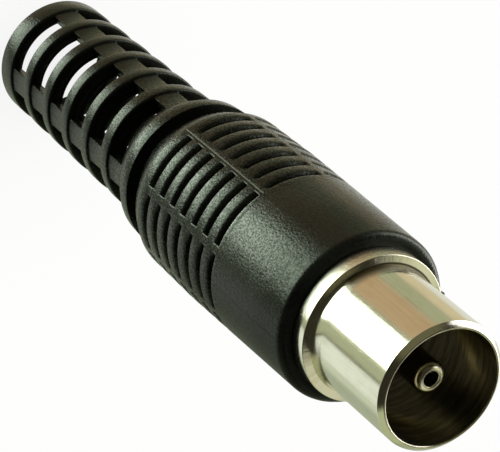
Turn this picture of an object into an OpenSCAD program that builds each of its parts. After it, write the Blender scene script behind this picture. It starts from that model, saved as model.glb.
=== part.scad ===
// Coaxial plug of the 9.5 mm aerial kind, standing on its cable end.
// The axis is Z, the cable end face is at Z = 0 and the contact end is up.

/* [Bend relief] */
// Outside diameter of the bend relief at the cable end
tail_od = 9.7; // [9.3:0.1:10]
// Outside diameter of the bend relief where it meets the flared ring
tail_root_od = 10.1; // [9.8:0.1:10.8]
// Diameter of the cable's way in, at the mouth
mouth_d = 7.2; // [6.6:0.1:7.6]
// Length of the mouth
mouth_len = 0.6; // [0.3:0.1:1]
// Diameter of the way for the cable, just inside the end ring
bore_tail_d = 7.9; // [7.2:0.1:8.1]
// Diameter of the way for the cable, at its drafted inner end
bore_root_d = 7.2; // [6.6:0.1:7.6]
// Length of the closed ring at the cable end
end_ring_len = 1.8; // [1.2:0.1:3]
// Number of rows of slots along the bend relief
slot_rows = 6; // [3:1:9]
// Length of each slot along the axis
slot_len = 2.18; // [1.2:0.02:3]
// Length of each ring between two rows of slots
ring_len = 1.11; // [0.8:0.01:2]
// Width of each slot at the outside of the wall
slot_w = 5.3; // [3.6:0.1:5.6]
// Amount by which each side of a slot draws in towards the cable
slot_draft = 0.55; // [0.1:0.05:0.6]
// Depth of the bars between the slots below the rings
bar_recess = 0.2; // [0.1:0.05:0.4]
// Length of the rounded front of each ring
ring_round = 0.2; // [0.1:0.05:0.4]

/* [Shoulder] */
// Length of the cone that flares from the bend relief to the last ring
flare_len = 1.5; // [1:0.1:3]
// Outside diameter at the start of the last ring's rim
rim_od = 11.64; // [11:0.02:12.4]
// Growth in diameter along the last ring's rim
rim_growth = 0.14; // [0:0.02:0.4]
// Length of the last ring's rim
rim_len = 1.1; // [0.6:0.1:2]
// Length of the neck between the last ring and the grip
neck_len = 1.65; // [0.8:0.05:2.4]
// Diameter of the neck
neck_od = 10.2; // [9.8:0.1:10.8]
// Outside diameter of the grip's rear face
lead_od = 12; // [11.4:0.1:12.6]
// Length of the cone that leads on to the grip
lead_len = 1.25; // [0.6:0.05:1.6]

/* [Grip] */
// Outside diameter at the rear of the grip
grip_od = 13; // [12.7:0.1:13.5]
// Outside diameter at the middle of the grip
grip_mid_od = 13.22; // [13:0.02:13.8]
// Length of the plain rib at the rear of the grip
first_rib_len = 1.78; // [1.68:0.02:3]
// Number of ring grooves
groove_count = 7; // [3:1:10]
// Distance from one ring groove to the next
groove_pitch = 1.58; // [1.3:0.02:2]
// Width of a ring groove at the surface
groove_w = 0.88; // [0.6:0.02:1.1]
// Length of the rounded front of each rib, inside its groove
rib_round = 0.5; // [0.1:0.02:0.54]
// Depth of a ring groove
groove_depth = 0.5; // [0.2:0.05:0.6]
// Width of the bars that cross the grooves
bar_w = 0.6; // [0.4:0.05:1]
// Width of the sloping foot on the outer side of each bar
bar_foot = 0.4; // [0.1:0.05:0.6]
// Angle from the middle of a slot to each bar
bar_angle = 22.5; // [18:0.5:27]

/* [Front sleeve] */
// Length of the smooth front of the cover
sleeve_len = 9.18; // [6:0.02:14]
// Outside diameter at the front of the cover
front_od = 12.9; // [12.4:0.1:13.2]
// Radius of the cover's front edge
front_round = 0.6; // [0.2:0.05:0.8]
// Small bevel on the cover's moulded edges
edge = 0.12; // [0.05:0.01:0.2]

/* [Outer contact] */
// Outside diameter of the barrel
barrel_od = 9.52; // [9.4:0.01:9.6]
// Length of the barrel in front of the collar
barrel_len = 8.5; // [7.5:0.1:10]
// Thickness of the barrel's wall
barrel_wall = 0.49; // [0.4:0.01:0.7]
// Bevel on the barrel's nose
nose_bevel = 0.34; // [0.15:0.01:0.36]
// Outside diameter of the collar
collar_od = 11; // [10.6:0.1:11.4]
// Length of the collar
collar_len = 1.3; // [0.8:0.1:2]
// Rise of the collar's front face towards the barrel
collar_rise = 0.15; // [0:0.05:0.4]
// Bevel on the turned edges
turned_bevel = 0.1; // [0.05:0.01:0.15]
// Outside diameter of the skirt that goes into the cover
skirt_od = 10; // [9.8:0.1:10.2]
// Length of the skirt
skirt_len = 12; // [10:0.5:14]
// Bevel on the skirt's rear edge
skirt_bevel = 0.35; // [0.1:0.05:0.5]
// Thickness of the skirt's wall
skirt_wall = 0.7; // [0.5:0.05:0.9]
// Depth of the barrel, from its nose to the lip inside
barrel_depth = 9.4; // [8.5:0.1:10.4]
// Inside diameter of the lip that stops the insulator
lip_d = 7.2; // [5.6:0.1:7.8]
// Length of the lip
lip_len = 1; // [0.6:0.1:1.6]

/* [Insulator] */
// Length of the insulator behind the lip
insulator_len = 4.5; // [3.5:0.1:5.5]
// Length by which the insulator's nose stands out of the lip
nose_out = 0.5; // [0.2:0.1:1]

/* [Centre pin] */
// Diameter of the contact pin
pin_d = 2.34; // [2.3:0.01:2.4]
// Distance from the barrel's nose back to the pin's tip
tip_setback = 1.3; // [0.5:0.1:3]
// Radius of the pin's tip
tip_round = 0.4; // [0.1:0.05:0.4]
// Diameter of the hole through the pin
pin_hole_d = 1.16; // [0.8:0.02:1.3]
// Diameter of the stem inside the insulator
stem_d = 2.9; // [2.6:0.1:3.4]
// Diameter of the pin's flange
flange_d = 3.8; // [3.6:0.1:4.4]
// Length of the pin's flange
flange_len = 1; // [0.6:0.1:1.5]
// Diameter of the solder end
solder_d = 2.6; // [2.2:0.1:3]
// Length of the solder end
solder_len = 4.9; // [3:0.1:6]

/* [Cable clamp] */
// Thickness of the clamp's sheet
clamp_t = 0.5; // [0.3:0.05:0.6]
// Length of the ring that sits in the skirt
clamp_ring_len = 4.5; // [3:0.1:6]
// Angle of the slit in the ring
clamp_slit = 18; // [6:1:40]
// Length of the tongue from the ring to the claws
tongue_len = 5; // [3:0.1:6]
// Angle that the tongue covers
tongue_angle = 60; // [40:1:90]
// Length of the claws
claw_len = 3.5; // [2:0.1:4]
// Angle that the claws cover
claw_angle = 250; // [200:1:290]

/* [Fits] */
// Radial clearance between the skirt and the cover
slide_gap = 0.05; // [0.03:0.01:0.1]
// Gap between the collar and the cover's front face
seat_gap = 0.05; // [0.02:0.01:0.1]
// Radial clearance between pieces that are pressed together
press_gap = 0.02; // [0.01:0.01:0.04]
// Length of the cone from the cable way to the socket for the skirt
socket_cone_len = 2.8; // [1.5:0.1:4]
// Distance from the neck's rear end to that cone
socket_cone_gap = 0.6; // [0.3:0.1:1.2]

/* [Hidden] */
$fn = 120;

plastic = "#2b2d2a";
nickel = "#c9c4b6";
tin = "#b4b5b2";
black = "#161616";
past = 1;

// Places along the cover, from the cable end to the front face
slot_pitch = slot_len + ring_len;
z_flare = end_ring_len + slot_rows * slot_pitch - ring_len;
z_rim = z_flare + flare_len;
z_neck = z_rim + rim_len;
z_grip = z_neck + neck_len;
z_lead = z_grip + lead_len;
z_groove = z_grip + first_rib_len;
z_sleeve = z_groove + (groove_count - 1) * groove_pitch + groove_w;
z_mid = (z_groove + z_sleeve) / 2;
z_front = z_sleeve + sleeve_len;
z_cone = z_neck + socket_cone_gap;
z_socket = z_cone + socket_cone_len;

// Places along the contacts
z_seat = z_front + seat_gap;
z_collar = z_seat + collar_len;
z_nose = z_collar + barrel_len;
z_skirt = z_seat - skirt_len;
z_lip = z_nose - barrel_depth;
z_stop = z_lip - lip_len;
z_back = z_stop - insulator_len;
z_button = z_lip + nose_out;
z_tip = z_nose - tip_setback;
z_solder = z_back - solder_len;
z_tongue = z_back - clamp_ring_len;
z_claw = z_tongue - tongue_len;

// Radii that two pieces share
root_r = bore_root_d / 2;
skirt_r = skirt_od / 2;
socket_r = skirt_r + slide_gap;
house_r = skirt_r - skirt_wall;
barrel_r = barrel_od / 2;
barrel_in_r = barrel_r - barrel_wall;
clamp_r = house_r - press_gap;

// Radius of the bend relief at height z
function tail_r(z) = lookup(z, [
    [edge, tail_od / 2],
    [z_flare, tail_root_od / 2]
]);

// Radius of the grip and the sleeve at height z
function grip_r(z) = lookup(z, [
    [z_lead, grip_od / 2],
    [z_mid, grip_mid_od / 2],
    [z_front, front_od / 2]
]);

// Quarter round from the side of a turned profile to its end
function round_over(r, z, f) = [for (a = [0 : 15 : 90]) [r - f + f * cos(a), z - f + f * sin(a)]];

// Half section of the moulded cover
module cover_section() {
    outside = concat([
        [tail_od / 2 - edge, 0],
        [tail_od / 2, edge],
        [tail_root_od / 2, z_flare],
        [rim_od / 2, z_rim],
        [(rim_od + rim_growth) / 2, z_neck - edge],
        [(rim_od + rim_growth) / 2 - edge, z_neck],
        [neck_od / 2, z_neck],
        [neck_od / 2, z_grip],
        [lead_od / 2, z_grip],
        [grip_r(z_lead), z_lead],
        [grip_r(z_mid), z_mid]
    ], round_over(grip_r(z_front), z_front, front_round));
    inside = [
        [socket_r + edge, z_front],
        [socket_r, z_front - edge],
        [socket_r, z_socket],
        [root_r, z_cone],
        [bore_tail_d / 2, end_ring_len],
        [mouth_d / 2, mouth_len],
        [mouth_d / 2, 0]
    ];
    polygon(concat(outside, inside));
}

// One slot of the bend relief, drawn in towards the cable
module slot_cut() {
    half_out = slot_w / 2;
    half_in = half_out - slot_draft;
    x_out = sqrt(pow(tail_od / 2, 2) - pow(half_out, 2));
    x_in = sqrt(pow(root_r, 2) - pow(half_in, 2)) - edge;
    x_far = tail_root_od / 2 + past;
    linear_extrude(slot_len)
        polygon([
            [x_in, -half_in], [x_out, -half_out], [x_far, -half_out],
            [x_far, half_out], [x_out, half_out], [x_in, half_in]
        ]);
}

// One ring groove: the rib behind it has a rounded front, and the rib before it a square rear wall
module ring_groove(z_rib, z_wall, r_out, depth, front_len) {
    rib_front = [for (a = [0 : 30 : 90]) [r_out - depth * (1 - cos(a)), z_rib + front_len * sin(a)]];
    rotate_extrude()
        polygon(concat(rib_front, [
            [r_out - depth, z_wall],
            [r_out + past, z_wall],
            [r_out + past, z_rib]
        ]));
}

// All rows of slots: a shallow groove round the wall, with four slots through it a quarter turn apart
module slots() {
    for (row = [0 : slot_rows - 1]) {
        z_slot = end_ring_len + row * slot_pitch;
        ring_groove(z_slot - ring_round, z_slot + slot_len, tail_r(z_slot), bar_recess, ring_round);
        translate([0, 0, z_slot])
            for (turn = [0 : 90 : 270])
                rotate(turn) slot_cut();
    }
}

// The bars that cross the grooves, in plan: each is straight towards its slot and has a sloping foot behind
module bar_plan() {
    r_out = grip_od / 2;
    r_in = r_out - groove_depth - edge;
    near = r_out * sin(bar_angle) - bar_w / 2;
    top = near + bar_w;
    foot = top + bar_foot;
    x_top = sqrt(pow(r_out, 2) - pow(top, 2));
    x_foot = sqrt(pow(r_in, 2) - pow(foot, 2));
    for (turn = [0 : 90 : 270])
        for (side = [0, 1])
            rotate(turn)
                mirror([0, side, 0])
                    polygon([
                        [x_foot, near], [r_out + 2 * past, near], [r_out + 2 * past, top],
                        [x_top, top], [x_foot, foot]
                    ]);
}

// The pockets that are left of the ring grooves between the bars
module grip_pockets() {
    difference() {
        union() {
            for (i = [0 : groove_count - 1]) {
                z_rib = z_groove + i * groove_pitch;
                ring_groove(z_rib, z_rib + groove_w, grip_r(z_rib + groove_w / 2), groove_depth, rib_round);
            }
        }
        translate([0, 0, z_grip - past])
            linear_extrude(z_front - z_grip) bar_plan();
    }
}

// The cover: bend relief, grip and sleeve in one moulding
module cover() {
    color(plastic)
        difference() {
            rotate_extrude() cover_section();
            slots();
            grip_pockets();
        }
}

// The outer contact: barrel, collar and skirt, turned as one piece
module outer_contact() {
    color(nickel)
        rotate_extrude()
            polygon([
                [house_r, z_skirt],
                [skirt_r - skirt_bevel, z_skirt],
                [skirt_r, z_skirt + skirt_bevel],
                [skirt_r, z_seat],
                [collar_od / 2 - turned_bevel, z_seat],
                [collar_od / 2, z_seat + turned_bevel],
                [collar_od / 2, z_collar - turned_bevel],
                [collar_od / 2 - turned_bevel, z_collar],
                [barrel_r, z_collar + collar_rise],
                [barrel_r, z_nose - nose_bevel],
                [barrel_r - nose_bevel, z_nose],
                [barrel_in_r + turned_bevel / 2, z_nose],
                [barrel_in_r, z_nose - turned_bevel / 2],
                [barrel_in_r, z_lip],
                [lip_d / 2, z_lip],
                [lip_d / 2, z_stop],
                [house_r, z_stop]
            ]);
}

// The insulator: seated behind the lip, with a nose through it and a seat for the pin's flange
module insulator() {
    color(black)
        rotate_extrude()
            polygon([
                [flange_d / 2 + press_gap, z_back],
                [house_r - press_gap, z_back],
                [house_r - press_gap, z_stop],
                [lip_d / 2 - press_gap, z_stop],
                [lip_d / 2 - press_gap, z_button],
                [stem_d / 2 + press_gap, z_button],
                [stem_d / 2 + press_gap, z_back + flange_len],
                [flange_d / 2 + press_gap, z_back + flange_len]
            ]);
}

// The centre pin: hollow, so that the cable's core passes through and is soldered at the tip
module centre_pin() {
    tip = round_over(pin_d / 2, z_tip, tip_round);
    color(nickel)
        rotate_extrude()
            polygon(concat([
                [pin_hole_d / 2 + turned_bevel, z_solder],
                [solder_d / 2, z_solder],
                [solder_d / 2, z_back],
                [flange_d / 2, z_back],
                [flange_d / 2, z_back + flange_len],
                [stem_d / 2, z_back + flange_len],
                [stem_d / 2, z_button],
                [pin_d / 2, z_button]
            ], tip, [
                [pin_hole_d / 2 + turned_bevel, z_tip],
                [pin_hole_d / 2, z_tip - turned_bevel],
                [pin_hole_d / 2, z_solder + turned_bevel]
            ]));
}

// A gap in the clamp's rolled sheet, centred on -Y
module clamp_gap(z_low, z_high, angle) {
    rotate(-90 - angle / 2)
        rotate_extrude(angle = angle)
            translate([clamp_r - clamp_t - past, z_low])
                square([clamp_t + 2 * past, z_high - z_low]);
}

// The cable clamp: a slit ring in the skirt, a tongue and claws for the cable's screen
module cable_clamp() {
    z_end = z_claw - claw_len;
    z_half = (z_claw + z_tongue) / 2;
    color(tin)
        difference() {
            translate([0, 0, z_end]) cylinder(h = z_back - z_end, r = clamp_r);
            translate([0, 0, z_end - past]) cylinder(h = z_back - z_end + 2 * past, r = clamp_r - clamp_t);
            clamp_gap(z_half, z_back + past, clamp_slit);
            clamp_gap(z_claw, z_tongue, 360 - tongue_angle);
            clamp_gap(z_end - past, z_half, 360 - claw_angle);
        }
}

cover();
outer_contact();
insulator();
centre_pin();
cable_clamp();
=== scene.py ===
# Coaxial plug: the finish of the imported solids, on a plain pale floor
import math

import bmesh
import bpy
from mathutils import Matrix, Vector


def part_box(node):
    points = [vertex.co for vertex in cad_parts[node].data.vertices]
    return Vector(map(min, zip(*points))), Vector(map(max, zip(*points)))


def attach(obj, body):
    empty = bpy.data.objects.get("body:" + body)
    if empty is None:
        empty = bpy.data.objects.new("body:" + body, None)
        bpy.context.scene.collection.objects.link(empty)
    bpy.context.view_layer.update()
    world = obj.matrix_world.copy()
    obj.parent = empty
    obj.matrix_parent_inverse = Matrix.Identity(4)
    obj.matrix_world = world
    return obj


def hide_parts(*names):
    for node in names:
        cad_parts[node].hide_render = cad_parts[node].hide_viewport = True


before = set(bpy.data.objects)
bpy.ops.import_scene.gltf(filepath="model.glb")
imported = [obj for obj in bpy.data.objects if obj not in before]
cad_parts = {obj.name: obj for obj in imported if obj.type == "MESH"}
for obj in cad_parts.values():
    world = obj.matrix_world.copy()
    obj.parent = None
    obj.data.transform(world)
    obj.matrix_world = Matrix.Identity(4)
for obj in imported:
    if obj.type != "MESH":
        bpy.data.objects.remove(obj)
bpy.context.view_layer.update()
mm = 0.001          # pieces are drawn in millimetres and scaled when they are done
weldGap = 0.002     # millimetres: closer vertices become one
sliver = 0.0005     # millimetres: shorter edges are dissolved
sharpBend = 32      # degrees: edges that bend more stay sharp in the shading
white = (1, 1, 1, 1)
print("frame loaded:", ", ".join(sorted(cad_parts)))


# Modelling helpers

def startPiece(name):
    # a new mesh that is one loose vertex at the origin, open in edit mode
    bpy.ops.object.select_all(action="DESELECT")
    bpy.ops.mesh.primitive_plane_add(size=1)
    piece = bpy.context.object
    piece.name = name
    piece.data.name = name
    bpy.ops.object.mode_set(mode="EDIT")
    bpy.ops.mesh.select_mode(type="VERT")
    bpy.ops.mesh.merge(type="CENTER")
    return piece


def drawOutline(points):
    # extrudes the loose vertex along (radius, height) points in the XZ plane
    bpy.ops.transform.translate(value=(points[0][0], 0, points[0][1]))
    for here, there in zip(points, points[1:]):
        step = (there[0] - here[0], 0, there[1] - here[1])
        bpy.ops.mesh.extrude_region_move(TRANSFORM_OT_translate={"value": step})
    bpy.ops.mesh.select_all(action="SELECT")


def spinBy(degrees, steps, copies=False):
    angle = math.radians(degrees)
    bpy.ops.mesh.spin(steps=steps, dupli=copies, angle=angle, center=(0, 0, 0), axis=(0, 0, -1))


def turnBy(degrees):
    bpy.ops.transform.rotate(value=-math.radians(degrees), orient_axis="Z", center_override=(0, 0, 0))


def editShape():
    return bmesh.from_edit_mesh(bpy.context.object.data)


def pick(kind, test):
    # selects the vertices, edges or faces whose middle passes the test
    bpy.ops.mesh.select_all(action="DESELECT")
    bpy.ops.mesh.select_mode(type={"verts": "VERT", "edges": "EDGE", "faces": "FACE"}[kind])
    shape = editShape()
    for part in getattr(shape, kind):
        middle = part.co if kind == "verts" else sum((v.co for v in part.verts), Vector()) / len(part.verts)
        if test(middle, part):
            part.select_set(True)
    shape.select_flush_mode()
    bmesh.update_edit_mesh(bpy.context.object.data)


def cleanMesh():
    bpy.ops.mesh.select_mode(type="VERT")
    bpy.ops.mesh.select_all(action="SELECT")
    bpy.ops.mesh.remove_doubles(threshold=weldGap)
    bpy.ops.mesh.dissolve_degenerate(threshold=sliver)
    bpy.ops.mesh.select_all(action="SELECT")
    bpy.ops.mesh.normals_make_consistent(inside=False)


def applyModifier(piece, kind, **settings):
    modifier = piece.modifiers.new(kind.lower(), kind)
    for key, value in settings.items():
        setattr(modifier, key, value)
    bpy.ops.object.modifier_apply(modifier=modifier.name)


def roundEdges(piece, width, bend, clamped):
    # rounds the edges that bend by more than so many degrees
    applyModifier(
        piece, "BEVEL", width=width, segments=2, limit_method="ANGLE", angle_limit=math.radians(bend),
        use_clamp_overlap=clamped)


def finishPiece(piece):
    # back to object mode, down to metres, smooth except over sharp edges
    bpy.ops.object.mode_set(mode="OBJECT")
    piece.scale = (mm, mm, mm)
    bpy.ops.object.transform_apply(location=False, rotation=False, scale=True)
    bpy.ops.object.shade_smooth_by_angle(angle=math.radians(sharpBend))
    print(piece.name, "has", len(piece.data.polygons), "faces")


def angleOf(point):
    return math.degrees(math.atan2(point.y, point.x))


def awayFrom(point, degrees):
    return abs((angleOf(point) - degrees + 180) % 360 - 180)


def radiusOf(point):
    return math.hypot(point.x, point.y)


def between(low, value, high, slack=0.01):
    return low - slack < value < high + slack


def arc(centreR, centreZ, radius, start, end, steps):
    turn = [math.radians(start + (end - start) * i / steps) for i in range(steps + 1)]
    return [(centreR + radius * math.cos(a), centreZ + radius * math.sin(a)) for a in turn]


def bevelled(outerR, topZ, width, edge):
    # a cone at 45 degrees across an outer corner, with its two edges rounded
    tangent = edge * math.tan(math.radians(22.5))
    lower = arc(outerR - edge, topZ - width - tangent, edge, 0, 45, 4)
    return lower + arc(outerR - width - tangent, topZ - edge, edge, 45, 90, 4)


# Camera at the photograph's viewing angle

photo = {
    "width": 500, "focal": 3000,            # in pixels of the photograph
    "place": (-7.83, -138.19, 192.19),      # millimetres
    "right": (-0.6174, 0.6122, 0.4940),
    "down": (0.7858, 0.4500, 0.4243),
    "sensor": 36,                           # millimetres
    "nearest": 0.005,                       # metres
}


def addCamera():
    bpy.ops.object.camera_add()
    camera = bpy.context.object
    camera.name = "photo_camera"
    right = Vector(photo["right"]).normalized()
    down = Vector(photo["down"])
    down = (down - right * down.dot(right)).normalized()
    axes = Matrix((right, -down, down.cross(right))).transposed().to_4x4()
    camera.matrix_world = Matrix.Translation(Vector(photo["place"]) * mm) @ axes
    camera.data.sensor_width = photo["sensor"]
    camera.data.lens = photo["focal"] / photo["width"] * photo["sensor"]
    camera.data.clip_start = photo["nearest"]
    bpy.context.scene.camera = camera


addCamera()
print("camera placed")


# Moulded cover: bend relief, grip and sleeve

cover = {
    # bend relief: rings with slots between them, joined by bars
    "tailOd": 9.7, "tailRootOd": 10.1, "mouthD": 7.2, "mouthLen": 0.6, "boreTailD": 7.9, "boreRootD": 6.6,
    "endRing": 1.8, "slotRows": 6, "slotLen": 2.18, "ringLen": 1.11, "slotW": 5.3,
    "slotDraft": 1.0,       # degrees that the inner edges of a slot stand further out
    "barRecess": 0.2,       # depth of the bars below the rings, and the rings' rounding
    # flared last ring, neck and grip
    "flareLen": 1.5, "rimOd": 11.64, "rimGrowth": 0.14, "rimLen": 1.1, "neckLen": 1.65, "neckOd": 10.2,
    "leadOd": 12.0, "leadLen": 1.25, "gripOd": 13.0, "gripMidOd": 13.22, "firstRib": 1.78,
    "grooves": 7, "groovePitch": 1.58, "grooveW": 0.88, "grooveDepth": 0.5,
    "barAngle": 22.5, "barW": 0.6, "footAngle": 31.06,
    # sleeve, with the socket and the cone inside it
    "frontOd": 12.9, "frontRound": 0.6, "socketR": 5.05, "skinGap": 0.2, "coneGap": 0.6, "coneLen": 2.8,
    # lip beside the last groove, and the parting line along one bar of the grip
    "lipLen": 0.34, "lipGroove": 0.08, "lipRings": 4, "lipSide": -90, "lipDepth": 0.02,
    "partingBar": -112.5, "partingHalf": 0.7, "partingDepth": 0.02,
    # the mould's own parting plane, and the flash where it crosses the front rim
    "seams": (-45, 135), "seamHalf": 0.7, "seamSlack": 0.05, "seamDepth": 0.3, "seamHeight": 0.015,
    "nubHeight": 0.30, "nubHalf": 0.9,
    "nubDown": 0.7, "nubIn": 0.8,       # how much of the front's rounding the flash takes up
    # mesh: the eighth that is spun, its steps, and the rounding of its edges
    "sector": 45, "slotSteps": 14, "barSteps": 5, "seamSteps": 6, "edgeRound": 0.07, "edgeBend": 28,
}


def setCoverPlaces(c):
    pitch = c["slotLen"] + c["ringLen"]
    c["slotZ"] = [c["endRing"] + i * pitch for i in range(c["slotRows"])]
    c["zFlare"] = c["slotZ"][-1] + c["slotLen"]
    c["zRim"] = c["zFlare"] + c["flareLen"]
    c["zNeck"] = c["zRim"] + c["rimLen"]
    c["zGrip"] = c["zNeck"] + c["neckLen"]
    c["zLead"] = c["zGrip"] + c["leadLen"]
    c["grooveZ"] = [c["zGrip"] + c["firstRib"] + i * c["groovePitch"] for i in range(c["grooves"])]
    c["zSleeve"] = c["grooveZ"][-1] + c["grooveW"]
    c["zMid"] = (c["grooveZ"][0] + c["zSleeve"]) / 2
    c["zFront"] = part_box("cover")[1].z / mm
    c["zCone"] = c["zNeck"] + c["coneGap"]
    c["rimEndR"] = (c["rimOd"] + c["rimGrowth"]) / 2
    lipEnd = c["zSleeve"] + c["lipLen"]
    c["lipRows"] = [lipEnd + i * c["lipGroove"] for i in range(c["lipRings"])]
    halfBar = math.degrees(math.asin(c["barW"] / c["gripOd"]))
    c["barNear"], c["barTop"] = c["barAngle"] - halfBar, c["barAngle"] + halfBar
    c["slotAngle"] = math.degrees(math.asin(c["slotW"] / c["tailOd"]))
    c["seamNear"] = c["sector"] - c["seamHalf"]


def blendAlong(z, stops):
    for (z0, r0), (z1, r1) in zip(stops, stops[1:]):
        if z <= z1:
            return r0 + (r1 - r0) * max(0, z - z0) / (z1 - z0)
    return stops[-1][1]


def gripR(z):
    c = cover
    return blendAlong(z, [
        (c["zLead"], c["gripOd"] / 2), (c["zMid"], c["gripMidOd"] / 2), (c["zFront"], c["frontOd"] / 2)])


def tailR(z):
    return blendAlong(z, [(0, cover["tailOd"] / 2), (cover["zFlare"], cover["tailRootOd"] / 2)])


def boreR(z):
    c = cover
    return blendAlong(z, [(c["endRing"], c["boreTailD"] / 2), (c["zCone"], c["boreRootD"] / 2)])


def grooveR(z):
    return gripR(z + cover["grooveW"] / 2)  # outside radius at a groove that starts at z


def outsideR(z):
    c = cover
    if z < c["zFlare"]:
        return tailR(z)
    if z < c["zNeck"]:
        return blendAlong(z, [
            (c["zFlare"], c["tailRootOd"] / 2), (c["zRim"], c["rimOd"] / 2), (c["zNeck"], c["rimEndR"])])
    return c["neckOd"] / 2 if z < c["zGrip"] else gripR(z)


def onOutside(point):
    # clear of the socket's wall and of the neck
    return radiusOf(point) > cover["socketR"] + cover["skinGap"]


def coverOutline(c):
    rows = [z for start in c["slotZ"] for z in (start, start + c["slotLen"])]
    line = [(c["mouthD"] / 2, 0), (c["tailOd"] / 2, 0)]
    for z in c["slotZ"]:
        floorR = tailR(z) - c["barRecess"]
        line += arc(floorR, z - c["barRecess"], c["barRecess"], 0, 90, 4)     # rounded front of the ring
        line += [(floorR, z + c["slotLen"]), (tailR(z + c["slotLen"]), z + c["slotLen"])]
    line += [(c["rimOd"] / 2, c["zRim"]), (c["rimEndR"], c["zNeck"])]
    line += [(c["neckOd"] / 2, c["zNeck"]), (c["neckOd"] / 2, c["zGrip"])]
    line += [(c["leadOd"] / 2, c["zGrip"]), (gripR(c["zLead"]), c["zLead"])]
    for z in c["grooveZ"]:
        floorR = grooveR(z) - c["grooveDepth"]
        line += arc(floorR, z, c["grooveDepth"], 0, 90, 5)     # rounded front of the rib
        line += [(floorR, z + c["grooveW"]), (grooveR(z), z + c["grooveW"])]
    line += [(gripR(z), z) for z in c["lipRows"]]
    roundZ = c["zFront"] - c["frontRound"]
    line += arc(c["frontOd"] / 2 - c["frontRound"], roundZ, c["frontRound"], 0, 90, 8)
    line += [(c["socketR"], c["zFront"]), (c["socketR"], c["zCone"] + c["coneLen"])]
    line += [(boreR(z), z) for z in [c["zCone"]] + rows[::-1]]
    line += [(c["mouthD"] / 2, c["mouthLen"]), (c["mouthD"] / 2, 0)]
    return line


def fillGrooves():
    # lifts the groove points of the selected outline to the surface, for a bar
    for vert in editShape().verts:
        for z in cover["grooveZ"]:
            inGroove = onOutside(vert.co) and between(z, vert.co.z, z + cover["grooveW"])
            if vert.select and inGroove:
                growth = grooveR(z) / radiusOf(vert.co)
                vert.co.x *= growth
                vert.co.y *= growth
    bmesh.update_edit_mesh(bpy.context.object.data)


def spinSector(c):
    # one eighth of the cover: from the middle of a slot to a bar, then from the diagonal back to it
    drawOutline(coverOutline(c))
    spinBy(c["barNear"], c["slotSteps"])
    bpy.ops.mesh.extrude_region_move(TRANSFORM_OT_translate={"value": (0, 0, 0)})
    fillGrooves()
    spinBy(c["barTop"] - c["barNear"], c["barSteps"])
    pick("verts", lambda p, v: abs(p.y) < weldGap)
    bpy.ops.mesh.duplicate()
    turnBy(c["sector"])
    spinBy(-c["seamHalf"], 1)
    spinBy(c["slotAngle"] - c["seamNear"], c["seamSteps"])
    spinBy(c["footAngle"] - c["slotAngle"], 1)
    spinBy(c["barTop"] - c["footAngle"], 1)
    fillGrooves()
    cleanMesh()


def openSlots(c):
    wallR = (c["tailOd"] + c["boreTailD"]) / 4
    inner = lambda p: radiusOf(p) < wallR
    # the slots' inner edges turn outwards by their draft, which eases out towards the seam
    low, high = c["slotAngle"], c["seamNear"]
    for vert in editShape().verts:
        if inner(vert.co) and between(0, vert.co.z, c["zFlare"]) and between(low, angleOf(vert.co), high):
            share = (high - angleOf(vert.co)) / (high - low)
            vert.co.rotate(Matrix.Rotation(math.radians(c["slotDraft"] * share), 3, "Z"))
    # the wall between two rings goes, outside and inside, and the edges that are left are joined
    edgeAngle = lambda p: c["slotAngle"] + (c["slotDraft"] if inner(p) else 0)
    inSector = lambda p: between(0, angleOf(p), c["sector"], slack=-0.01)
    for z in c["slotZ"]:
        inRow = lambda p: between(z, p.z, z + c["slotLen"])
        onWall = lambda p: abs(p.z - z - c["slotLen"] / 2) < c["slotLen"] / 4
        pick("faces", lambda p, f: onWall(p) and angleOf(p) < edgeAngle(p))
        bpy.ops.mesh.delete(type="FACE")
        pick("edges", lambda p, e: e.is_boundary and inRow(p) and inSector(p))
        bpy.ops.mesh.bridge_edge_loops()


def buildCover(c):
    setCoverPlaces(c)
    piece = startPiece("plug_cover")
    spinSector(c)
    openSlots(c)
    bpy.ops.mesh.select_all(action="SELECT")
    bpy.ops.mesh.duplicate()
    bpy.ops.transform.resize(value=(1, -1, 1), center_override=(0, 0, 0))
    bpy.ops.mesh.select_all(action="SELECT")
    spinBy(270, 3, copies=True)
    cleanMesh()
    bpy.ops.object.mode_set(mode="OBJECT")
    roundEdges(piece, c["edgeRound"], c["edgeBend"], clamped=False)
    addMouldMarks(c)
    finishPiece(piece)
    return piece


def addMouldMarks(c):
    # parting lines, the lip of the last groove and a nub of flash, on the finished edges
    bpy.ops.object.mode_set(mode="EDIT")
    onBar = lambda p: awayFrom(p, c["partingBar"]) < c["partingHalf"] and c["zGrip"] < p.z < c["zSleeve"]
    pick("verts", lambda p, v: onOutside(p) and onBar(p))
    bpy.ops.transform.shrink_fatten(value=-c["partingDepth"])
    onSkin = lambda p: outsideR(p.z) - radiusOf(p) < c["seamDepth"]
    inLength = lambda p: c["edgeRound"] < p.z < c["zFront"] - c["frontRound"]
    for seam in c["seams"]:
        pick("verts", lambda p, v: awayFrom(p, seam) < c["seamSlack"] and onSkin(p) and inLength(p))
        bpy.ops.transform.shrink_fatten(value=c["seamHeight"])
    inPanel = lambda p: awayFrom(p, c["lipSide"]) < c["barNear"]
    onLip = lambda p: between(c["lipRows"][1], p.z, c["lipRows"][2])
    pick("verts", lambda p, v: onOutside(p) and inPanel(p) and onLip(p))
    bpy.ops.transform.shrink_fatten(value=-c["lipDepth"])
    rimZ = c["zFront"] - c["frontRound"] * c["nubDown"]
    rimR = c["frontOd"] / 2 - c["frontRound"] * c["nubIn"]
    onRim = lambda p: p.z > rimZ and radiusOf(p) > rimR
    pick("verts", lambda p, v: onRim(p) and awayFrom(p, c["seams"][1]) < c["nubHalf"])
    bpy.ops.transform.shrink_fatten(value=c["nubHeight"])


coverPiece = buildCover(cover)
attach(coverPiece, "cover")
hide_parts("cover")


# Turned pieces: one outline spun about the axis

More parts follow.
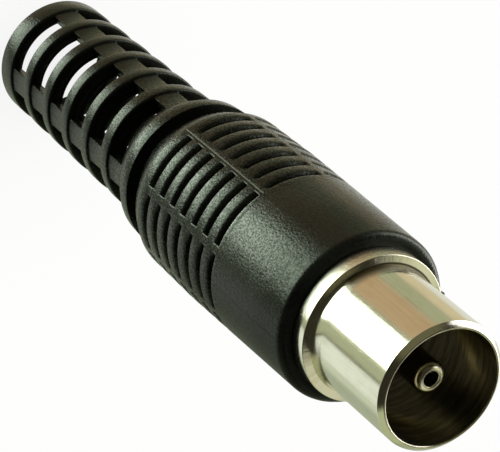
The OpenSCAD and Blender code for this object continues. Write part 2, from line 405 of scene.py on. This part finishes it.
def turnPiece(name, outline, steps):
    piece = startPiece(name)
    drawOutline(outline + outline[:1])
    spinBy(360, steps)
    cleanMesh()
    finishPiece(piece)
    # long walls stay straight beside their roundings
    applyModifier(piece, "WEIGHTED_NORMAL", keep_sharp=True)
    return piece


def carry(piece, node):
    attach(piece, "contacts")
    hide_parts(node)


contact = {
    "barrelOd": 9.52, "barrelLen": 8.5, "wall": 0.49, "noseRound": 0.34, "innerRound": 0.07,
    "collarOd": 11.0, "collarLen": 1.3, "collarRound": 0.06, "noseEdge": 0.1, "seatGap": 0.05,
    # the collar's face slopes up to the barrel's flared root
    "collarRise": 0.08, "rootFlare": 0.13, "rootLen": 0.95, "rootSteps": 10,
    "skirtOd": 10.0, "skirtLen": 12.0, "skirtBevel": 0.35, "skirtWall": 0.7,
    "depth": 9.4, "lipD": 7.2, "lipLen": 1.0, "steps": 144,
}


def contactOutline(c):
    c["zSeat"] = cover["zFront"] + c["seatGap"]
    c["zCollar"] = c["zSeat"] + c["collarLen"]
    c["zNose"] = c["zCollar"] + c["barrelLen"]
    c["zSkirt"] = c["zSeat"] - c["skirtLen"]
    c["zLip"] = c["zNose"] - c["depth"]
    c["zStop"] = c["zLip"] - c["lipLen"]
    c["houseR"] = c["skirtOd"] / 2 - c["skirtWall"]
    barrelR, collarR, skirtR = c["barrelOd"] / 2, c["collarOd"] / 2, c["skirtOd"] / 2
    insideR = barrelR - c["wall"]
    edge, root, nose, rim = c["collarRound"], c["rootFlare"], c["noseRound"], c["innerRound"]
    line = [(c["houseR"], c["zSkirt"]), (skirtR - c["skirtBevel"], c["zSkirt"])]
    line += [(skirtR, c["zSkirt"] + c["skirtBevel"]), (skirtR, c["zSeat"])]
    line += arc(collarR - edge, c["zSeat"] + edge, edge, -90, 0, 5)
    line += arc(collarR - edge, c["zCollar"] - edge, edge, 0, 90, 6)
    zRoot = c["zCollar"] + c["collarRise"]
    shares = [i / c["rootSteps"] for i in range(c["rootSteps"] + 1)]
    line += [(barrelR + root * (1 - share) ** 2, zRoot + c["rootLen"] * share) for share in shares]
    line += bevelled(barrelR, c["zNose"], nose, c["noseEdge"])
    line += arc(insideR + rim, c["zNose"] - rim, rim, 90, 180, 4)
    line += [(insideR, c["zLip"]), (c["lipD"] / 2, c["zLip"])]
    line += [(c["lipD"] / 2, c["zStop"]), (c["houseR"], c["zStop"])]
    return line


contactPiece = turnPiece("contact_barrel", contactOutline(contact), contact["steps"])
carry(contactPiece, "outer_contact")

pin = {
    "od": 2.34, "setback": 1.3, "tipRound": 0.48, "holeD": 1.16, "mouthRound": 0.06,
    "stemD": 2.9, "flangeD": 3.8, "flangeLen": 1.0, "solderD": 2.6, "solderLen": 4.9, "steps": 64,
}
insulator = {"len": 4.5, "noseOut": 0.5, "pressGap": 0.02, "edge": 0.1, "steps": 96}
insulator["zBack"] = contact["zStop"] - insulator["len"]
insulator["zButton"] = contact["zLip"] + insulator["noseOut"]


def pinOutline(p):
    zTip, zBack = contact["zNose"] - p["setback"], insulator["zBack"]
    zSolder = zBack - p["solderLen"]
    holeR, mouth, tip = p["holeD"] / 2, p["mouthRound"], p["tipRound"]
    line = [(holeR + mouth, zSolder), (p["solderD"] / 2, zSolder), (p["solderD"] / 2, zBack)]
    line += [(p["flangeD"] / 2, zBack), (p["flangeD"] / 2, zBack + p["flangeLen"])]
    line += [(p["stemD"] / 2, zBack + p["flangeLen"]), (p["stemD"] / 2, insulator["zButton"])]
    line += [(p["od"] / 2, insulator["zButton"])]
    line += arc(p["od"] / 2 - tip, zTip - tip, tip, 0, 90, 7)
    line += arc(holeR + mouth, zTip - mouth, mouth, 90, 180, 4)
    line += [(holeR, zSolder + mouth)]
    return line


def insulatorOutline(i):
    gap, edge = i["pressGap"], i["edge"]
    houseR, noseR = contact["houseR"] - gap, contact["lipD"] / 2 - gap
    stemR, flangeR = pin["stemD"] / 2 + gap, pin["flangeD"] / 2 + gap
    zFlange = i["zBack"] + pin["flangeLen"]
    line = [(flangeR, i["zBack"]), (houseR, i["zBack"])]
    line += [(houseR, contact["zStop"]), (noseR, contact["zStop"])]
    line += arc(noseR - edge, i["zButton"] - edge, edge, 0, 90, 4)
    line += arc(stemR + edge, i["zButton"] - edge, edge, 90, 180, 4)
    line += [(stemR, zFlange), (flangeR, zFlange)]
    return line


pinPiece = turnPiece("centre_contact_pin", pinOutline(pin), pin["steps"])
carry(pinPiece, "centre_pin")
insulatorPiece = turnPiece("insulating_bush", insulatorOutline(insulator), insulator["steps"])
carry(insulatorPiece, "insulator")


# Cable clamp: one strip of rolled sheet with a tongue and two claws

clamp = {
    "thick": 0.5, "ringLen": 4.5, "slit": 18, "tongueLen": 5.0, "tongueAngle": 60, "tongueSide": 90,
    "clawLen": 3.5, "clawAngle": 250, "edgeRound": 0.08, "edgeBend": 40,
    "steps": (6, 20, 10),       # of half the tongue, then the claw, then the rest of the ring
}


def buildClamp(c):
    outerR = contact["houseR"] - insulator["pressGap"]
    zRing = insulator["zBack"] - c["ringLen"]
    zTongue = zRing - c["tongueLen"]
    piece = startPiece("screen_clamp")
    drawOutline([(outerR, z) for z in (zTongue - c["clawLen"], zTongue, zRing, insulator["zBack"])])
    # half a strip from the tongue's middle round to the slit, then its mirror image
    turnBy(c["tongueSide"])
    bands = [c["tongueAngle"] / 2, c["clawAngle"] / 2, 180 - c["slit"] / 2]
    done = 0
    for band, steps in zip(bands, c["steps"]):
        spinBy(band - done, steps)
        done = band
    bpy.ops.mesh.select_all(action="SELECT")
    bpy.ops.mesh.duplicate()
    bpy.ops.transform.resize(value=(-1, 1, 1), center_override=(0, 0, 0))
    cleanMesh()
    offTongue = lambda p: zTongue < p.z < zRing and awayFrom(p, c["tongueSide"]) > bands[0]
    offClaws = lambda p: p.z < zTongue and awayFrom(p, c["tongueSide"]) > bands[1]
    pick("faces", lambda p, f: offTongue(p) or offClaws(p))
    bpy.ops.mesh.delete(type="FACE")
    cleanMesh()
    bpy.ops.object.mode_set(mode="OBJECT")
    applyModifier(piece, "SOLIDIFY", thickness=c["thick"], offset=-1)
    roundEdges(piece, c["edgeRound"], c["edgeBend"], clamped=True)
    finishPiece(piece)
    return piece


clampPiece = buildClamp(clamp)
carry(clampPiece, "cable_clamp")
print("pieces modelled")


# Shader maths

class Wire:
    # wraps a socket, so that shader maths can be written as arithmetic
    def __init__(self, tree, socket):
        self.tree = tree
        self.socket = socket

    def node(self, kind, settings, inputs, out=0):
        # any node: its type, its settings, then the values or links of its sockets
        made = self.tree.nodes.new("ShaderNode" + kind)
        for key, value in settings.items():
            setattr(made, key, value)
        for key, value in inputs.items():
            if isinstance(value, Wire):
                self.tree.links.new(value.socket, made.inputs[key])
            else:
                made.inputs[key].default_value = value
        return Wire(self.tree, made.outputs[out] if len(made.outputs) else None)

    def maths(self, operation, *values):
        return self.node("Math", {"operation": operation}, dict(enumerate(values)))

    def __add__(self, other):
        return self.maths("ADD", self, other)

    def __radd__(self, other):
        return self.maths("ADD", other, self)

    def __sub__(self, other):
        return self.maths("SUBTRACT", self, other)

    def __rsub__(self, other):
        return self.maths("SUBTRACT", other, self)

    def __mul__(self, other):
        return self.maths("MULTIPLY", self, other)

    def __rmul__(self, other):
        return self.maths("MULTIPLY", other, self)

    def __truediv__(self, other):
        return self.maths("DIVIDE", self, other)

    def above(self, low, high, start=0.0, end=1.0):
        # start below low, end above high, eased between them
        inputs = {0: self, 1: low, 2: high, 3: start, 4: end}
        return self.node("MapRange", {"interpolation_type": "SMOOTHSTEP"}, inputs)

    def below(self, low, high):
        return 1 - self.above(low, high)

    def within(self, low, high, soft):
        return self.above(low - soft, low + soft) * self.below(high - soft, high + soft)

    def swing(self):
        # a noise about its middle value
        return self - 0.5

    def mix(self, under, over):
        # colour under where this is 0, over where it is 1
        return self.node("Mix", {"data_type": "RGBA"}, {0: self, 6: under, 7: over}, 2)

    def parts(self):
        split = self.node("SeparateXYZ", {}, {0: self})
        return [Wire(self.tree, output) for output in split.socket.node.outputs]

    def noise(self, scale, detail, roughness):
        inputs = {"Vector": self, "Scale": scale, "Detail": detail, "Roughness": roughness}
        return self.node("TexNoise", {}, inputs)

    def bump(self, height):
        # height in millimetres
        return self.node("Bump", {}, {"Strength": 1.0, "Distance": mm, "Height": height, "Normal": self})


def startMaterial(name):
    # an empty material, and its object coordinates in millimetres
    material = bpy.data.materials.new(name)
    material.use_nodes = True
    material.node_tree.nodes.clear()
    tree = Wire(material.node_tree, None)
    place = tree.node("TexCoord", {}, {}, "Object")
    return material, tree, tree.node("VectorMath", {"operation": "SCALE"}, {0: place, 3: 1 / mm})


def endMaterial(tree, **sockets):
    inputs = {key.replace("_", " "): value for key, value in sockets.items()}
    tree.node("OutputMaterial", {}, {0: tree.node("BsdfPrincipled", {}, inputs)})


def dress(piece, material):
    piece.data.materials.clear()
    piece.data.materials.append(material)


def joined(tree, x, y, z):
    return tree.node("CombineXYZ", {}, {0: x, 1: y, 2: z})


def fromAxis(tree, x, y):
    return tree.maths("SQRT", x * x + y * y)


def towards(x, y, side):
    # how far a place lies out to one side of the axis
    return x * side[0] + y * side[1]


# Materials

plasticLook = {
    "dark": (0.0020, 0.0022, 0.0018, 1), "pale": (0.0055, 0.006, 0.005, 1), "paleEdge": (0.3, 0.7),
    # next: a near-black for the painted shade, and a pale colour for the painted highlight on the parting
    # line and lip
    "hollow": (0.0015, 0.0015, 0.0012, 1), "paintedHighlight": (0.15, 0.16, 0.14, 1), "tint": (0.78, 1.0, 0.76, 1),
    "roughness": 0.21, "roughSpread": 0.06, "ior": 1.22, "coatIor": 1.36, "coatRough": 0.30,
    "grain": 6.5, "grainHeight": 0.040, "grainLeast": 0.5, "pits": 5.0, "pitHeight": 0.026,
    "grainDraw": 0.7,           # the grain lies along the mould's opening
    "clouds": 0.35, "cloudShare": 0.6,
    # where the marks fade in: heights, radii and widths in millimetres, or the slant across a panel
    "sleeveFade": 0.3, "panelSlant": (0.30, 0.37), "panelEnd": (45.2, 45.6),
    "ridgeAcross": (0.924, -0.383), "ridgeHalf": (0.02, 0.07), "ridgeFade": 0.2,
    "lipRise": (0.04, 0.13), "lipFade": 0.03, "lipSlant": (0.34, 0.37),
    # the painted highlight stays on the front side, over a share of the grain
    "highlightSide": (-4, -3), "highlightLeast": 0.4,
    # where shade is painted in the bore behind the slots
    "hollowR": (4.0, 4.15), "hollowZ": (24, 25), "hollowShare": 0.85,
    # the side of the sleeve where shade is painted, and how much
    "sideShadeFacing": (0.949, -0.314), "sideShadeArc": (0.7, 1.0), "sideShadeZ": (26, 36), "sideShadeShare": 0.5,
    # coat and specks: a rise or fall is two heights, then the value at each
    "gloss": 0.5, "glossRise": (2, 32, 0.5, 1.0), "glossFall": (40, 45, 1.0, 0.65),
    "specks": 8.0, "speckEdge": (0.42, 0.62), "speckRise": (2, 20, 0.15, 0.35),
    "ribZ": (2, 24), "ribSpecks": 0.45,
}


def plasticMaterial(look):
    material, tree, place = startMaterial("moulded_black_plastic")
    x, y, z = place.parts()
    flat = tree.node("NewGeometry", {}, {}, "Normal")
    sides = [tree.maths("ABSOLUTE", x), tree.maths("ABSOLUTE", y)]
    slant = tree.maths("MINIMUM", *sides) / tree.maths("MAXIMUM", *sides)   # 0 in the middle of a panel
    zSmooth = cover["lipRows"][-1]
    sleeve = z.above(zSmooth, zSmooth + look["sleeveFade"])
    panel = slant.below(*look["panelSlant"]) * sleeve * z.below(*look["panelEnd"])
    drawn = joined(tree, x, y, z * look["grainDraw"])
    fine = drawn.noise(look["grain"], 2, 0.5)
    coarse = drawn.noise(look["pits"], 2, 0.5)
    cloud = place.noise(look["clouds"], 3, 0.6)
    height = fine.swing() * look["grainHeight"] * (look["grainLeast"] + cloud)
    height = height + coarse.swing() * panel * look["pitHeight"]
    pale = cloud * look["cloudShare"] + fine * (1 - look["cloudShare"])
    colour = pale.above(*look["paleEdge"]).mix(look["dark"], look["pale"])
    # painted highlight: the parting line along one bar of the grip and the lip of the last groove are
    # painted pale on the front side
    ridge = tree.maths("ABSOLUTE", towards(x, y, look["ridgeAcross"])).below(*look["ridgeHalf"])
    ridge = ridge * z.within(cover["zLead"], cover["zSleeve"], look["ridgeFade"])
    lipLow, lipHigh = [cover["zSleeve"] + rise for rise in look["lipRise"]]
    lip = z.within(lipLow, lipHigh, look["lipFade"]) * slant.below(*look["lipSlant"])
    paintedHighlight = tree.maths("MAXIMUM", ridge, lip) * y.below(*look["highlightSide"])
    colour = (paintedHighlight * (look["highlightLeast"] + fine)).mix(colour, look["paintedHighlight"])
    roughness = look["roughness"] + (cloud.swing() + fine.swing()) * look["roughSpread"]
    # bright specks, strong on the panels and the ribs
    speck = drawn.noise(look["specks"], 2, 0.6).above(*look["speckEdge"])
    ribbed = (1 - sleeve) * z.above(*look["ribZ"])
    strength = z.above(*look["speckRise"]) + look["ribSpecks"] * tree.maths("MAXIMUM", panel, ribbed)
    gloss = look["gloss"] + speck.swing() * strength
    gloss = gloss * z.above(*look["glossRise"]) * z.above(*look["glossFall"])
    plastic = tree.node("BsdfPrincipled", {}, {
        "Base Color": colour, "Roughness": roughness, "Normal": flat.bump(height),
        "Specular Tint": look["tint"], "IOR": look["ior"],
        "Coat Weight": gloss, "Coat Roughness": look["coatRough"], "Coat IOR": look["coatIor"]})
    # painted shade: the bore behind the slots, and one side of the sleeve, are mixed towards a near-black
    # matt shader
    radius = fromAxis(tree, x, y)
    hollow = radius.below(*look["hollowR"]) * z.below(*look["hollowZ"]) * look["hollowShare"]
    # painted shade: one side of the sleeve is mixed halfway towards the near-black
    sideShade = (towards(x, y, look["sideShadeFacing"]) / radius).above(*look["sideShadeArc"])
    sideShade = sideShade * z.above(*look["sideShadeZ"]) * look["sideShadeShare"]
    shadeBsdf = tree.node("BsdfDiffuse", {}, {0: look["hollow"]})
    shader = tree.node("MixShader", {}, {0: hollow + sideShade, 1: plastic, 2: shadeBsdf})
    tree.node("OutputMaterial", {}, {0: shader})
    return material


nickelLook = {
    "bright": (0.80, 0.775, 0.69, 1), "worn": (0.70, 0.65, 0.52, 1), "wornEdge": (0.45, 0.75),
    # next: painted shade inside, darker than the bright nickel, with lighter scores round it
    "dullShade": (0.52, 0.49, 0.39, 1), "scored": (0.94, 0.89, 0.74, 1), "scoredEdge": (0.40, 0.62),
    # next: painted shade at the barrel's root, where the collar's dark face would be reflected
    "rootShade": (0.10, 0.09, 0.055, 1),
    "roughness": 0.13, "roughSpread": 0.10, "collarRough": 0.12, "dullRough": 0.10, "rootShadeRough": 0.3,
    "streaks": 5.0, "streakDraw": 0.06, "streakHeight": 0.0036,     # drawn along the axis
    "rings": 6.0, "ringDraw": 0.25, "ringHeight": 0.0045,           # left by the lathe
    "scores": 2.4, "scoreDraw": 0.10,                               # round the inside
    "grain": 9.0, "grainHeight": 0.0018, "collarGrain": 0.030, "clouds": 0.5,
    # where the marks are: radii and heights in millimetres, a side, and how far round it
    "collarR": (5.35, 5.46), "collarZ": (46.0, 47.32), "collarFade": 0.03,
    "collarSide": (-0.549, -0.836), "collarArc": (0.45, 0.65),
    "rootShadeR": (4.6, 5.0), "rootShadeZ": (47.1, 47.3), "rootShadeEnd": (47.6, 48.5),
    "rootShadeSide": (-0.929, -0.370), "rootShadeArc": (0.55, 0.68),
    "dullShadeR": (3.4, 4.4), "dullShadeZ": (46.2, 46.4), "wallFade": 0.05,
}


def nickelMaterial(name, look, reach):
    material, tree, place = startMaterial(name)
    x, y, z = place.parts()
    flat = tree.node("NewGeometry", {}, {}, "Normal")
    radius = fromAxis(tree, x, y)
    turn = tree.maths("ARCTAN2", y, x) * reach      # the way round in millimetres
    streaks = joined(tree, turn, 0, z * look["streakDraw"]).noise(look["streaks"], 3, 0.6)
    rings = joined(tree, turn * look["ringDraw"], 0, z).noise(look["rings"], 3, 0.6)
    scores = joined(tree, turn * look["scoreDraw"], 0, z).noise(look["scores"], 4, 0.7)
    grain = place.noise(look["grain"], 3, 0.6)
    cloud = place.noise(look["clouds"], 3, 0.6)
    # one side of the collar is rough; the root beside it carries painted shade, as if the collar's dark
    # face were reflected there, and the inside is dull with painted shade and scores
    collar = radius.above(*look["collarR"]) * z.within(*look["collarZ"], look["collarFade"])
    collar = collar * (towards(x, y, look["collarSide"]) / radius).above(*look["collarArc"])
    # painted shade at the root on one side
    rootShade = radius.within(*look["rootShadeR"], look["wallFade"])
    rootShade = rootShade * z.above(*look["rootShadeZ"]) * z.below(*look["rootShadeEnd"])
    rootShade = rootShade * (towards(x, y, look["rootShadeSide"]) / radius).above(*look["rootShadeArc"])
    # painted shade: the inside wall, or the pin's flank, is darkened and dull
    dullShade = radius.within(*look["dullShadeR"], look["wallFade"]) * z.above(*look["dullShadeZ"])
    height = streaks.swing() * look["streakHeight"] + rings.swing() * look["ringHeight"]
    height = height + grain.swing() * (collar * look["collarGrain"] + look["grainHeight"])
    colour = ((streaks + cloud) / 2).above(*look["wornEdge"]).mix(look["bright"], look["worn"])
    inside = scores.above(*look["scoredEdge"]).mix(look["dullShade"], look["scored"])
    colour = dullShade.mix(rootShade.mix(colour, look["rootShade"]), inside)
    roughness = look["roughness"] + cloud.swing() * look["roughSpread"] + collar * look["collarRough"]
    roughness = roughness + dullShade * look["dullRough"] + rootShade * look["rootShadeRough"]
    endMaterial(tree, Base_Color=colour, Roughness=roughness, Metallic=1.0, Normal=flat.bump(height))
    return material


bushLook = {
    "dark": (0.022, 0.019, 0.012, 1), "pale": (0.034, 0.030, 0.020, 1), "paleEdge": (0.3, 0.7),
    "grain": 5.0, "grainHeight": 0.008, "roughness": 0.42, "roughSpread": 0.1, "ior": 1.5,
}


def bushMaterial(look):
    material, tree, place = startMaterial("insulator_dark_plastic")
    flat = tree.node("NewGeometry", {}, {}, "Normal")
    grain = place.noise(look["grain"], 3, 0.6)
    colour = grain.above(*look["paleEdge"]).mix(look["dark"], look["pale"])
    roughness = look["roughness"] + grain * look["roughSpread"]
    bumped = flat.bump(grain * look["grainHeight"])
    endMaterial(tree, Base_Color=colour, Roughness=roughness, Normal=bumped, IOR=look["ior"])
    return material


# on the pin the dark dull and scored colours are painted shade on its flank, where the barrel's dark inside
# would be reflected
pinLook = dict(
    nickelLook, bright=(0.86, 0.82, 0.68, 1), worn=(0.78, 0.71, 0.52, 1), dullShade=(0.15, 0.13, 0.085, 1),
    scored=(0.17, 0.15, 0.095, 1), dullShadeR=(0.93, 1.3), roughness=0.16, roughSpread=0.08)
tinLook = dict(
    nickelLook, bright=(0.40, 0.395, 0.375, 1), worn=(0.28, 0.275, 0.25, 1),
    roughness=0.44, roughSpread=0.16)

dress(coverPiece, plasticMaterial(plasticLook))
dress(contactPiece, nickelMaterial("barrel_nickel", nickelLook, contact["barrelOd"] / 2))
dress(pinPiece, nickelMaterial("pin_nickel", pinLook, pin["od"] / 2))
dress(insulatorPiece, bushMaterial(bushLook))
dress(clampPiece, nickelMaterial("clamp_tinned_sheet", tinLook, contact["houseR"]))
print("materials made")


# Studio: soft cards all round the part, by bearing and elevation in degrees

studio = {
    "front": (-0.0576, -0.9983, 0),     # bearing 0, level and towards the camera
    "left": (0.9983, -0.0576, 0),       # bearing 90
    "room": (0.030, 0.027, 0.017, 1),
    "cards": [
        # colour, bearings, elevations, softness of the edges
        ((0.42, 0.47, 0.34, 1), (-200, 200), (-100, -6), 8),
        ((0.80, 0.81, 0.72, 1), (-200, -132), (-100, 20), 6),
        ((0.70, 0.61, 0.39, 1), (-134, -103), (-100, -5), 6),
        ((0.45, 0.48, 0.30, 1), (-105, -78), (-100, -5), 6),
        ((0.60, 0.41, 0.23, 1), (-74, -21), (-100, -5), 8),
        ((0.64, 0.70, 0.54, 1), (64, 116), (-100, -5), 6),
        ((0.87, 0.94, 0.81, 1), (64, 99), (-100, -5), 4),
        ((0.45, 0.49, 0.31, 1), (34, 59), (-100, -5), 2),
        ((0.14, 0.15, 0.09, 1), (58.5, 62.5), (-100, -5), 1),
        ((0.33, 0.36, 0.25, 1), (-27, -17), (-100, -5), 3),
        ((6.4, 7.2, 6.0, 1), (-17.5, 33.5), (-80, -19), 1.5),
        ((0.14, 0.135, 0.075, 1), (-76, 8), (8, 70), 10),
        ((1.5, 1.5, 1.42, 1), (-170, -84), (-12, 25.5), 1.5),
        ((6.0, 6.0, 5.4, 1), (-165, -92), (-4, 18), 3),
        ((0.74, 0.76, 0.52, 1), (-171, -142), (34, 53), 6),
        ((1.3, 1.3, 1.1, 1), (-142, -120), (36, 54), 3),
        ((0.49, 0.54, 0.32, 1), (90, 172), (-6, 33), 5),
        ((0.69, 0.69, 0.50, 1), (142, 173), (34, 54), 3),
        # two halves of one card behind the part
        ((1.6, 1.55, 1.3, 1), (168, 200), (-8, 22), 3),
        ((1.6, 1.55, 1.3, 1), (-200, -168), (-8, 22), 3),
    ],
    # soft upright creases in the right-hand cards
    "fold": (0.34, 0.35, 0.22, 1), "foldShare": 0.8, "foldSize": 0.22, "foldEdge": (0.46, 0.62),
    "foldBearings": (-112, -17.5), "foldSoft": 2, "foldTop": (-14, -6),
}


def buildWorld(s):
    world = bpy.data.worlds.new("studio")
    bpy.context.scene.world = world
    world.use_nodes = True
    world.node_tree.nodes.clear()
    tree = Wire(world.node_tree, None)
    way = tree.node("TexCoord", {}, {}, "Generated")
    ahead = tree.node("VectorMath", {"operation": "DOT_PRODUCT"}, {0: way, 1: s["front"]}, "Value")
    aside = tree.node("VectorMath", {"operation": "DOT_PRODUCT"}, {0: way, 1: s["left"]}, "Value")
    bearing = tree.maths("ARCTAN2", aside, ahead) * math.degrees(1)
    elevation = tree.maths("ARCSINE", way.parts()[2]) * math.degrees(1)
    light = s["room"]
    for colour, bearings, elevations, soft in s["cards"]:
        card = bearing.within(*bearings, soft) * elevation.within(*elevations, soft)
        light = card.mix(light, colour)
    crease = joined(tree, bearing * s["foldSize"], 0, 0).noise(1.0, 3, 0.7).above(*s["foldEdge"])
    crease = crease * bearing.within(*s["foldBearings"], s["foldSoft"]) * elevation.below(*s["foldTop"])
    light = (crease * s["foldShare"]).mix(light, s["fold"])
    seen = tree.node("LightPath", {}, {}, "Is Camera Ray")
    background = tree.node("Background", {}, {0: seen.mix(light, white), 1: 1.0})
    tree.node("OutputWorld", {}, {0: background})


floorLook = {"size": 4, "paper": (0.86, 0.86, 0.85, 1), "glow": 0.88}       # the size in metres


def buildFloor(look):
    bpy.ops.object.select_all(action="DESELECT")
    bpy.ops.mesh.primitive_plane_add(size=look["size"])
    floor = bpy.context.object
    floor.name = "pale_floor"
    floor.visible_glossy = False    # the studio's lower cards stay visible in the metal
    floor.visible_shadow = False
    material, tree = startMaterial("pale_floor_paper")[:2]
    kinds = ("Is Camera Ray", "Is Glossy Ray", "Is Transmission Ray")
    rays = [tree.node("LightPath", {}, {}, kind) for kind in kinds]
    seen = tree.maths("MAXIMUM", tree.maths("MAXIMUM", rays[0], rays[1]), rays[2])
    paper = tree.node("BsdfDiffuse", {}, {0: look["paper"]})
    glow = tree.node("Emission", {}, {0: white, 1: 1.0})
    shader = tree.node("MixShader", {}, {0: seen * look["glow"], 1: paper, 2: glow})
    tree.node("OutputMaterial", {}, {0: shader})
    dress(floor, material)


softbox = {"place": (-0.05, 0.02, 0.6), "size": 0.35, "power": 3.0}     # metres and watts


def buildLamp(s):
    bpy.ops.object.light_add(type="AREA", location=s["place"])
    lamp = bpy.context.object
    lamp.name = "overhead_softbox"
    lamp.data.shape = "DISK"
    lamp.data.size = s["size"]
    lamp.data.energy = s["power"]
    lamp.visible_glossy = False     # it lights the floor, and stays out of the metal


buildWorld(studio)
buildFloor(floorLook)
buildLamp(softbox)
bpy.context.scene.view_settings.view_transform = "Standard"
print("studio set")
